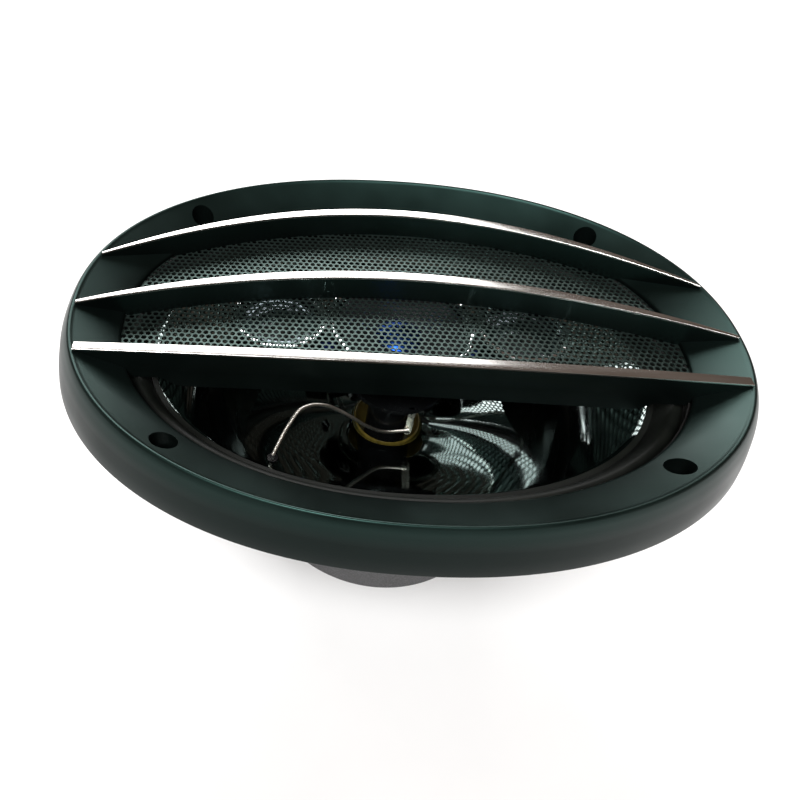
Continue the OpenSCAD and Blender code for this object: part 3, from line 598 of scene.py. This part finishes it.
def make_leads():
    finish = tinsel_braid()
    hub_z = low("bridge_housing").z
    lug_y = HUB_R - 1.6 + (LUG_T + LEAD_D) / 2
    for name, sign in (("left", -1), ("right", 1)):
        node = f"front_lead_{name}"
        start = (LUG_X, lug_y, hub_z - LUG_LEN + LUG_W / 2 + SOLDER_H)
        eyelets = high("cone_eyelets")
        end = (*LAND, eyelets.z + LEAD_D / 2 + 0.3)
        route = [(sign * x, sign * y, z) for x, y, z in [start] + FRONT_ROUTE + [end]]
        hang_lead(f"braided_front_lead_{name}", node, route, finish)
    tab_x = 10
    for name, sign in (("positive", 1), ("negative", -1)):
        node = f"rear_lead_{name}"
        tab = high(f"{name}_tab")
        y = high("terminal_board").y + LUG_T + LEAD_D / 2
        foot = high(node)
        eyelet_z = low("cone_eyelets").z
        route = [(tab_x, y, tab.z - 3), (tab_x, y, tab.z), (tab_x - 0.6, y - 0.6, tab.z + 4),
                 (tab_x - 1.6, y - 4, tab.z + 6.4), (tab_x - 2.4, y - 10, tab.z + 5.6),
                 (tab_x - 2.4, y - 16, tab.z + 2.6), (tab_x - 2, y - 21, tab.z + 1.2),
                 (9, 25.2, eyelet_z - 2.4), (9, 24, eyelet_z - LEAD_D / 4 - 0.3)]
        route = [(sign * x, py, z) for x, py, z in route]
        hang_lead(f"braided_rear_lead_{name}", node, route, finish)


make_leads()

# ---- grille ----
SKIRT = high("grille_bezel")
SPREAD = 5               # the skirt's spread outside the crest
CREST_A = SKIRT.x - SPREAD
RING_X, RING_Y = 18, 14.5
CREST_B = SKIRT.y - SPREAD * RING_Y / RING_X
CREST_Z = low("louvre_trim_front").z
MESH_TOP = high("grille_mesh").z
LIP_A, LIP_B = CREST_A - RING_X, CREST_B - RING_Y
# Each louvre's name, its ends' y, its bow, and the share of its width that is lost towards its ends
LOUVRES = (("front", -25, 1.7, 0.15), ("middle", -3, 23.8, 0.65), ("rear", 25, 37, 0.7))
LOUVRE_W, LOUVRE_FOOT_W, LOUVRE_DROP, ROLL_PASS = 4.2, 2.4, 6.6, 2.5
HOLE_X, HOLE_Y = 81, 59          # half the distances between the screw holes
HOLE_R, COUNTERBORE_R, COUNTERBORE_Z = 2.4, 4.5, 5.2
BOSS_WALL, BOSS_FLOOR, BOSS_SKIN = 1.2, 2, 0.5
DISH_DEPTH = 8.3
LOUVRE_INSET = 2                 # how far inside the crest the louvres end
FOOT_FADE = 0.06                 # share of the cone over which the front louvre's foot rises
ROLL_W, ROLL_H, FOOT_DROP, GLUE_W = 8.5, 4.2, 5, 2
MOUTH_A, MOUTH_B = 103.5, 72.8   # inside of the basket's mouth
EDGE_A, EDGE_B = MOUTH_A - ROLL_W - GLUE_W, MOUTH_B - ROLL_W - GLUE_W


def ring_row(inset, z):
    return (CREST_A - inset, CREST_B - inset * RING_Y / RING_X, z, SQUARENESS)


def ring_surface(x, y):
    """Height of the dished ring over a point."""
    outer = 1 - reach(x, y, CREST_A, CREST_B)
    inner = reach(x, y, LIP_A, LIP_B) - 1
    return CREST_Z - DISH_DEPTH * max(0, min(1, outer / max(0.001, outer + inner)))


def louvre_end(y):
    """Half the length of a louvre whose ends are at y."""
    a, b = CREST_A - LOUVRE_INSET, CREST_B - LOUVRE_INSET
    return a * (1 - (abs(y) / b) ** SQUARENESS) ** (1 / SQUARENESS)


def louvre_line(end_y, bow, taper, steps=LOUVRE_STEPS):
    """The louvre's middle line from left to right, with half its width at each point."""
    c = louvre_end(end_y)
    shares = [-1 + 2 * i / steps for i in range(steps + 1)]
    return [(c * t, end_y + bow * (1 - t * t), LOUVRE_W / 2 * (1 - taper * abs(t) ** 3)) for t in shares]


def blade(name, end_y, bow, taper):
    sections = []
    for x, y, half in louvre_line(end_y, bow, taper):
        foot = max(MESH_TOP, ring_surface(x, y) - 1.4)
        if reach(x, y, LIP_A, LIP_B) < 1:
            fade = max(0, min(1, (1 - reach(x, y, EDGE_A, EDGE_B)) / FOOT_FADE))
            foot = MESH_TOP - (ROLL_PASS + (LOUVRE_DROP - ROLL_PASS) * fade if name == "front" else 0)
        thin = half * LOUVRE_FOOT_W / LOUVRE_W
        sections.append([(x, y - half, CREST_Z), (x, y + half, CREST_Z),
                         (x, y + thin, foot), (x, y - thin, foot)])
    return strip("blade_" + name, sections)


def make_bezel(finish):
    # inset from the crest, height and rounding: up the skirt, over the crest, down the dish, back inside
    outline = rounded([
        (-5, 0, 0.5), (-4.5, 5, 2), (-2.75, 14, 2.5), (-1, 18, 1), (0, 19.5, 0.5), (0.63, 20, 0.35),
        (1.35, 19.85, 0.3), (2.16, 19.25, 0.5), (9.9, 15.4, 3), (17.3, 11.8, 0.4), (18, 11.2, 0.4),
        (18, 9.7, 0.2), (16.2, 9.7, 0), (15.8, 10.3, 0), (9, 13.5, 1), (4, 16, 1), (2.9, 14, 1),
        (-1.6, 0, 0.3)])
    bezel = oval_loft("grille_moulding", [ring_row(inset, z) for inset, z in outline])
    blades = [blade(*louvre) for louvre in LOUVRES]
    corners = [(sx * HOLE_X, sy * HOLE_Y) for sx in (-1, 1) for sy in (-1, 1)]
    boss_r = COUNTERBORE_R + BOSS_WALL
    flange_z = high("basket").z
    bosses, bores = [], []
    for i, (x, y) in enumerate(corners):
        ring = circle(boss_r, x, y)
        tops = [(px, py, ring_surface(px, py) - BOSS_SKIN) for px, py in ring]
        bosses.append(strip(f"boss_{i}", [[(px, py, COUNTERBORE_Z - BOSS_FLOOR) for px, py in ring], tops]))
        bosses.append(rod(f"boss_foot_{i}", HOLE_R + BOSS_WALL, x, y, flange_z, COUNTERBORE_Z - 1))
        bores.append(rod(f"counterbore_{i}", COUNTERBORE_R, x, y, COUNTERBORE_Z, CREST_Z + 5))
        bores.append(rod(f"bore_{i}", HOLE_R, x, y, -1, CREST_Z))
    cut_and_join(bezel, blades + bosses, bores)
    place(bezel, ROOT, finish, "bezel_plastic", "grille_bezel")


def make_trims(finish):
    thick = high("louvre_trim_front").z - CREST_Z
    for name, end_y, bow, taper in LOUVRES:
        sections = []
        for x, y, half in louvre_line(end_y, bow, taper):
            outline = rounded([(-half, 0, 0), (-half, thick, 0.3), (half, thick, 0.3), (half, 0, 0)], 3)
            sections.append([(x, y + across, CREST_Z + up) for across, up in outline])
        trim = smooth(strip("trim_" + name, sections), 40)
        place(trim, ROOT, finish, "trim_aluminium", "louvre_trim_" + name)


HOLE_PITCH, PUNCH_D, PUNCH_SIDES = 2.45, 2.0, 8
ROW_PITCH = HOLE_PITCH * math.sqrt(3) / 2
MESH_BORDER = 1.5


def punched_centres(inside):
    """Centres of the staggered holes that lie wholly inside the sheet."""
    centres = {}
    for row in range(-40, 41):
        for column in range(-50, 51):
            x, y = (column + 0.5 * (row % 2)) * HOLE_PITCH, row * ROW_PITCH
            if inside(x, y):
                centres[row, column] = (x, y)
    return centres


def make_sheet(finish):
    """The perforated sheet: its outline and every punched hole, filled by triangles and given a thickness."""
    a, b = LIP_A + MESH_BORDER, LIP_B + MESH_BORDER
    top, bottom = MESH_TOP, low("grille_mesh").z
    front = low("grille_mesh").y

    def border_y(x):
        _, end_y, bow, _ = LOUVRES[0]
        return end_y + bow * (1 - (x / louvre_end(end_y)) ** 2) + LOUVRE_W / 2 + 0.1

    def inside(x, y):
        return reach(x, y, a, b) < 1 - 1.4 / b and y > border_y(x) + 1.4

    far = [oval_point(a, b, SQUARENESS, math.pi * i / 240) for i in range(-60, 301)]
    outline = [p for p in far if p[1] > border_y(p[0])]
    outline += [(x, border_y(x)) for x in (outline[-1][0] * (1 - i / 24) + outline[0][0] * i / 24
                                           for i in range(1, 24))]
    centres = punched_centres(inside)
    points = [Vector(p) for p in outline]
    loops = [list(range(len(outline)))]
    for x, y in centres.values():
        first = len(points)
        points += [Vector((x + PUNCH_D / 2 * math.cos(t), y + PUNCH_D / 2 * math.sin(t)))
                   for t in (2 * math.pi * (j + 0.5) / PUNCH_SIDES for j in range(PUNCH_SIDES))]
        loops.append(list(range(first, len(points))))
    edges = [(loop[i - 1], loop[i]) for loop in loops for i in range(len(loop))]
    flat, _, triangles, origins, _, _ = geometry.delaunay_2d_cdt(points, edges, [], 1, 1e-6)
    n = len(flat)
    keep = [t for t in triangles if not in_hole(flat, t, centres)]
    solid = [(*p, top) for p in flat] + [(*p, bottom) for p in flat]
    faces = keep + [tuple(n + i for i in reversed(t)) for t in keep]
    match = {old: new for new, olds in enumerate(origins) for old in olds}
    for loop in loops:
        ring = [match[i] for i in loop]
        faces += [(ring[i - 1], ring[i], n + ring[i], n + ring[i - 1]) for i in range(len(ring))]
    sheet = smooth(mesh_object("perforated_sheet", solid, faces), 30)
    place(sheet, ROOT, finish, "mesh_steel", "grille_mesh")


def in_hole(flat, triangle, centres):
    """Whether a triangle fills one of the punched holes."""
    x = sum(flat[i].x for i in triangle) / 3
    y = sum(flat[i].y for i in triangle) / 3
    row = round(y / ROW_PITCH)
    column = round(x / HOLE_PITCH - 0.5 * (row % 2))
    spots = [centres.get((row + dr, column + dc)) for dr in (-1, 0, 1) for dc in (-1, 0, 1)]
    return any(s and math.hypot(x - s[0], y - s[1]) < PUNCH_D * 0.46 for s in spots)


make_bezel(moulded_abs())
make_trims(brushed_aluminium())
make_sheet(enamelled_sheet())

# ---- cone and surround ----
FOOT_T = 0.8
NECK_R = 13.45
CONE_T = 0.9
CONE_CURVE = 0.86        # power of the cone's profile; 1 is straight


def make_surround(finish):
    outer_foot = high("surround")
    flange_z = high("basket").z
    cone_edge = high("cone")
    steps = 28

    def roll(u, lift):
        base = flange_z - u * FOOT_DROP
        return (MOUTH_A - u * ROLL_W, MOUTH_B - u * ROLL_W, base + lift + math.sin(math.pi * u) * ROLL_H,
                SQUARENESS)

    inner = (EDGE_A, EDGE_B)
    rows = [(outer_foot.x, outer_foot.y, flange_z, SQUARENESS),
            (outer_foot.x, outer_foot.y, flange_z + FOOT_T, SQUARENESS)]
    rows += [roll(i / steps, FOOT_T) for i in range(steps + 1)]
    rows += [(*inner, cone_edge.z + FOOT_T, SQUARENESS), (*inner, cone_edge.z, SQUARENESS)]
    rows += [roll(i / steps, 0) for i in reversed(range(steps + 1))]
    surround = smooth(oval_loft("rolled_surround", rows), 40)
    place(surround, None, finish, "surround_rubber", "surround")
    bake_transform(surround)


def cone_row(u, lift, foot, edge):
    return (NECK_R + (EDGE_A - NECK_R) * u, NECK_R + (EDGE_B - NECK_R) * u,
            foot + (edge - CONE_T - foot) * u ** CONE_CURVE + lift, 2 + (SQUARENESS - 2) * u)


def make_cone(finish):
    foot, edge = low("cone").z, high("cone")
    steps = 40
    rows = [cone_row(i / steps, 0, foot, edge.z) for i in range(steps + 1)]
    rows += [(edge.x, edge.y, edge.z - CONE_T, SQUARENESS), (edge.x, edge.y, edge.z, SQUARENESS)]
    rows += [cone_row(i / steps, CONE_T, foot, edge.z) for i in reversed(range(steps + 1))]
    cone = smooth(oval_loft("gloss_cone", rows), 40)
    place(cone, CONE_BODY, finish, "cone_poly", "cone")


make_cone(black_polypropylene())
make_surround(butyl_rubber())

# ---- basket and spider ----
STEEL_T = 1.2
BOWL_R, BOWL_TOP = 47, -38
LEDGE_W, LEDGE_Z = 5, -49
PLATE_HOLE_R = 18
RIVET_R, RIVET_RING = 2, 27
BOARD_RIVET_X, BOARD_RIVET_R, BOARD_Z = 4, 1.5, -43.5
WINDOWS = 10
WINDOW_W, WINDOW_TOP, WINDOW_BOTTOM = 22, -12, -34


def make_basket(finish):
    """The pressed basket: its bowl and flange, with the windows and every hole cut through."""
    deep, flange_z, gasket_z = low("basket").z, high("basket").z, high("panel_gasket").z
    flange = high("basket")
    ledge = high("spider").x - LEDGE_W
    round_rows = [(PLATE_HOLE_R, deep), (ledge + STEEL_T, deep), (ledge + STEEL_T, LEDGE_Z - STEEL_T),
                  (BOWL_R, LEDGE_Z - STEEL_T), (BOWL_R, BOWL_TOP)]
    inner_rows = [(BOWL_R - STEEL_T, BOWL_TOP + 0.6), (BOWL_R - STEEL_T, LEDGE_Z), (ledge, LEDGE_Z),
                  (ledge, deep + STEEL_T), (PLATE_HOLE_R, deep + STEEL_T)]
    rows = [(r, r, z, 2) for r, z in round_rows]
    rows += [(MOUTH_A + STEEL_T, MOUTH_B + STEEL_T, z, SQUARENESS) for z in (-6, gasket_z)]
    rows += [(flange.x, flange.y, z, SQUARENESS) for z in (gasket_z, flange_z)]
    rows += [(MOUTH_A, MOUTH_B, z, SQUARENESS) for z in (flange_z, -5.4)]
    rows += [(r, r, z, 2) for r, z in inner_rows]
    basket = oval_loft("pressed_basket", rows)
    cuts = [window_cutter(i) for i in range(WINDOWS)]
    cuts += [rod(f"screw_hole_{sx}_{sy}", HOLE_R, sx * HOLE_X, sy * HOLE_Y, -1, 5)
             for sx in (-1, 1) for sy in (-1, 1)]
    cuts += [rod(f"rivet_hole_{k}", RIVET_R, x, y, deep - 1, deep + 3)
             for k, (x, y) in enumerate(circle(RIVET_RING, 0, 0, 8)[1::2])]
    for sign in (-1, 1):
        ring = circle(BOARD_RIVET_R, sign * BOARD_RIVET_X, BOARD_Z, 48)
        sections = [[(x, y, z) for x, z in ring] for y in (BOWL_R - 3, BOWL_R + 1)]
        cuts.append(strip(f"board_hole_{sign}", sections))
    cut_and_join(basket, (), cuts)
    place(basket, ROOT, finish, "basket_steel", "basket")


def window_cutter(i):
    """A box that faces straight out of the wall, halfway between the bowl and the mouth."""
    mid_a, mid_b = (BOWL_R + MOUTH_A + STEEL_T) / 2, (BOWL_R + MOUTH_B + STEEL_T) / 2
    x, y = oval_point(mid_a, mid_b, SQUARENESS, math.pi / 2 + 2 * math.pi * i / WINDOWS)
    facing = math.atan2(y / mid_b ** 2, x / mid_a ** 2)
    aside = y * math.cos(facing) - x * math.sin(facing)
    near, far, half = BOWL_R * 0.8, MOUTH_A * 1.4, WINDOW_W / 2
    corners = [(near, aside - half), (far, aside - half), (far, aside + half), (near, aside + half)]
    turned = [(u * math.cos(facing) - v * math.sin(facing), u * math.sin(facing) + v * math.cos(facing))
              for u, v in corners]
    return strip(f"window_{i}", [[(px, py, z) for px, py in turned] for z in (WINDOW_BOTTOM, WINDOW_TOP)])


def make_spider(finish):
    """The corrugated disc, from its collar at the coil to its outer foot on the basket, baked in place
    without a body.
    """
    rim = high("spider")
    foot_z, coil_z = LEDGE_Z, -44
    start, stop = NECK_R + 2.3, rim.x - 4.2
    thick, collar_w = 0.6, 1.1
    ridges, ridge_h, steps = 5, 1.1, 60

    def middle(u):
        return coil_z + (foot_z - coil_z) * u - ridge_h * math.sin(2 * math.pi * ridges * u)

    waves = [(start + (stop - start) * i / steps, middle(i / steps)) for i in range(steps + 1)]
    profile = [(NECK_R, coil_z), (NECK_R, rim.z), (NECK_R + collar_w, rim.z)]
    profile += [(r, z + thick) for r, z in waves]
    profile += [(rim.x, foot_z + thick), (rim.x, foot_z)] + [(r, z) for r, z in reversed(waves)]
    spider = smooth(oval_loft("corrugated_spider", [(r, r, z, 2) for r, z in profile], 120), 50)
    place(spider, None, finish, "spider_cloth", "spider")
    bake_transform(spider)


make_basket(powder_coat())
make_spider(woven_cotton("resin_dipped_cotton", "#8a6a20", "#c79f42", 0.8))

# ---- carried-over nodes ----
SATIN_STEEL = plated_metal("bright_rivet_steel", "#9c9d9e", "#c6c7c8", 0.22)
TINNED = plated_metal("tinned_brass", "#b5b2aa", "#dedbd3", 0.2)
CHROME = chrome_plate()
ZINC = turned_zinc()
GLOSS = gloss_abs()
FILM = metallised_film()
CANS = plated_metal("nickel_plated_can", "#83858a", "#a9abb0", 0.25)
FINISHES = {
    "panel_gasket": closed_cell_foam(), "clamp_ring": pressed_board(),
    "cone_eyelets": rubber_glue(),
    "voice_coil_former": amber_film(), "voice_coil_winding": wound_copper(),
    "front_plate": ZINC, "back_yoke": ZINC, "magnet": sintered_ferrite(),
    "basket_rivets": SATIN_STEEL, "terminal_rivets": SATIN_STEEL, "post_screw": SATIN_STEEL,
    "bridge_screws": SATIN_STEEL, "terminal_board": phenolic_board(), "positive_tab": TINNED,
    "negative_tab": TINNED, "solder_lug_left": TINNED, "solder_lug_right": TINNED,
    "post": GLOSS, "bridge_housing": GLOSS, "mid_ring": CHROME, "tweeter_ring_left": CHROME,
    "tweeter_ring_right": CHROME, "mid_cone": coated_paper(), "mid_dome": anodised_blue(),
    "tweeter_dome_left": FILM, "tweeter_dome_right": FILM, "mid_motor": CANS,
    "tweeter_motor_left": CANS, "tweeter_motor_right": CANS, "capacitors": shrink_sleeve(),
}
for node, finish in FINISHES.items():
    NODES[node].data.materials.clear()
    NODES[node].data.materials.append(finish)


# ---- studio ----
def make_floor():
    z = low("back_yoke").z
    size = 4000
    floor = mesh_object("floor", [(-size, -size, z), (size, -size, z), (size, size, z), (-size, size, z)],
                        [(0, 1, 2, 3)])
    floor.data.materials.append(studio_paper())


def softbox(name, azimuth, elevation, distance, width, height, watts, colour):
    """An area light that faces the speaker; azimuth is measured from straight behind it."""
    az, el = math.radians(azimuth), math.radians(elevation)
    where = Vector((math.sin(az) * math.cos(el), math.cos(az) * math.cos(el), math.sin(el))) * distance
    data = bpy.data.lights.new(name, "AREA")
    data.shape, data.size, data.size_y = "RECTANGLE", width, height
    data.energy, data.color = watts, linear(colour)[:3]
    lamp = bpy.data.objects.new(name, data)
    bpy.context.scene.collection.objects.link(lamp)
    lamp.matrix_world = Matrix.Translation(where) @ (-where).to_track_quat("-Z", "Y").to_matrix().to_4x4()


def make_lights():
    world = bpy.data.worlds.new("studio")
    bpy.context.scene.world = world
    world.use_nodes = True
    world.node_tree.nodes["Background"].inputs["Color"].default_value = linear("#5f534b")
    softbox("back_left_window", -9, 35, 1.5, 1.2, 0.92, 21, "#ffffff")
    data = bpy.data.lights.new("front_fill", "SUN")
    data.energy, data.angle = 3.6, math.radians(28)
    sun = bpy.data.objects.new("front_fill", data)
    bpy.context.scene.collection.objects.link(sun)
    sun.matrix_world = Vector((-0.2, -0.62, 1)).to_track_quat("Z", "Y").to_matrix().to_4x4()
    bpy.context.scene.view_settings.view_transform = "Standard"


make_floor()
make_lights()
